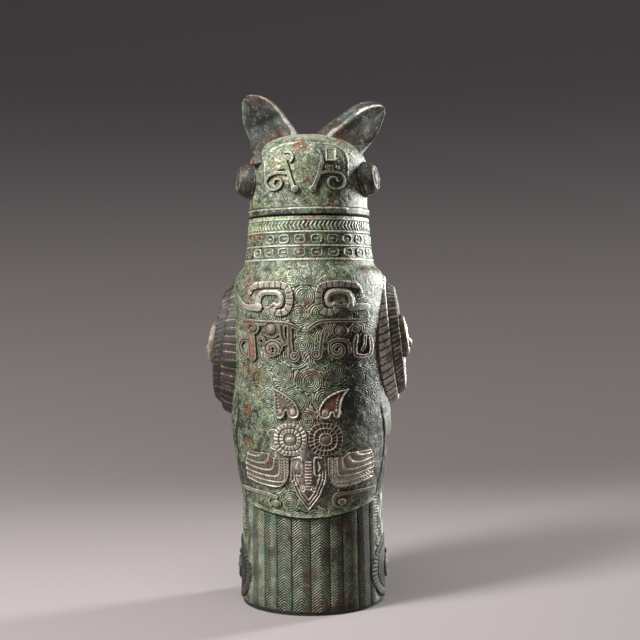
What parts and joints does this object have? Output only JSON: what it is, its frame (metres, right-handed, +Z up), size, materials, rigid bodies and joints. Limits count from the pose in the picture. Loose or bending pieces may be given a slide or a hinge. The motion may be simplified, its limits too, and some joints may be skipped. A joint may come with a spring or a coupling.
{
  "type": "bronze owl vessel",
  "caption": "Cast bronze wine vessel in the form of a standing owl, with a hollow trunk on a ring foot and a head that lifts off as the lid.",
  "frame": {"origin": "centre of the foot ring, on the surface that the vessel stands on", "axes": "+Z up through mouth and crown, +Y towards the owl's breast and beak, +X towards the owl's right"},
  "size_m": [0.1634, 0.1282, 0.4034],
  "materials": {
    "green_bronze": "green patina, worn",
    "dark_bronze": "dark patina, worn",
    "brown_bronze": "brown patina, worn"
  },
  "bodies": {
    "vessel": {"vessel_body": "green_bronze", "wing_left": "dark_bronze", "wing_right": "dark_bronze", "wing_coil_left": "brown_bronze", "wing_coil_right": "brown_bronze", "leg_left": "dark_bronze", "leg_right": "dark_bronze", "leg_coil_left": "brown_bronze", "leg_coil_right": "brown_bronze", "foot_left": "dark_bronze", "foot_right": "dark_bronze", "back_dragon_left": "brown_bronze", "back_dragon_right": "brown_bronze", "back_mask_left": "brown_bronze", "back_mask_right": "brown_bronze", "tail_owl_ear_left": "brown_bronze", "tail_owl_ear_right": "brown_bronze", "tail_owl_eye_left": "brown_bronze", "tail_owl_eye_right": "brown_bronze", "tail_owl_beak": "dark_bronze", "tail_owl_wing_left": "brown_bronze", "tail_owl_wing_right": "brown_bronze", "tail_owl_claw_left": "brown_bronze", "tail_owl_claw_right": "brown_bronze"},
    "lid": {"lid_shell": "green_bronze", "ear_left": "dark_bronze", "ear_right": "dark_bronze", "eye_left": "dark_bronze", "eye_right": "dark_bronze", "beak": "dark_bronze", "head_dragon_left": "green_bronze", "head_dragon_right": "green_bronze"}
  },
  "joints": [
    {"name": "lid_lift", "type": "slide", "parent": "vessel", "child": "lid", "axis": [0, 0, 1], "range_m": [0, 0.12]}
  ]
}
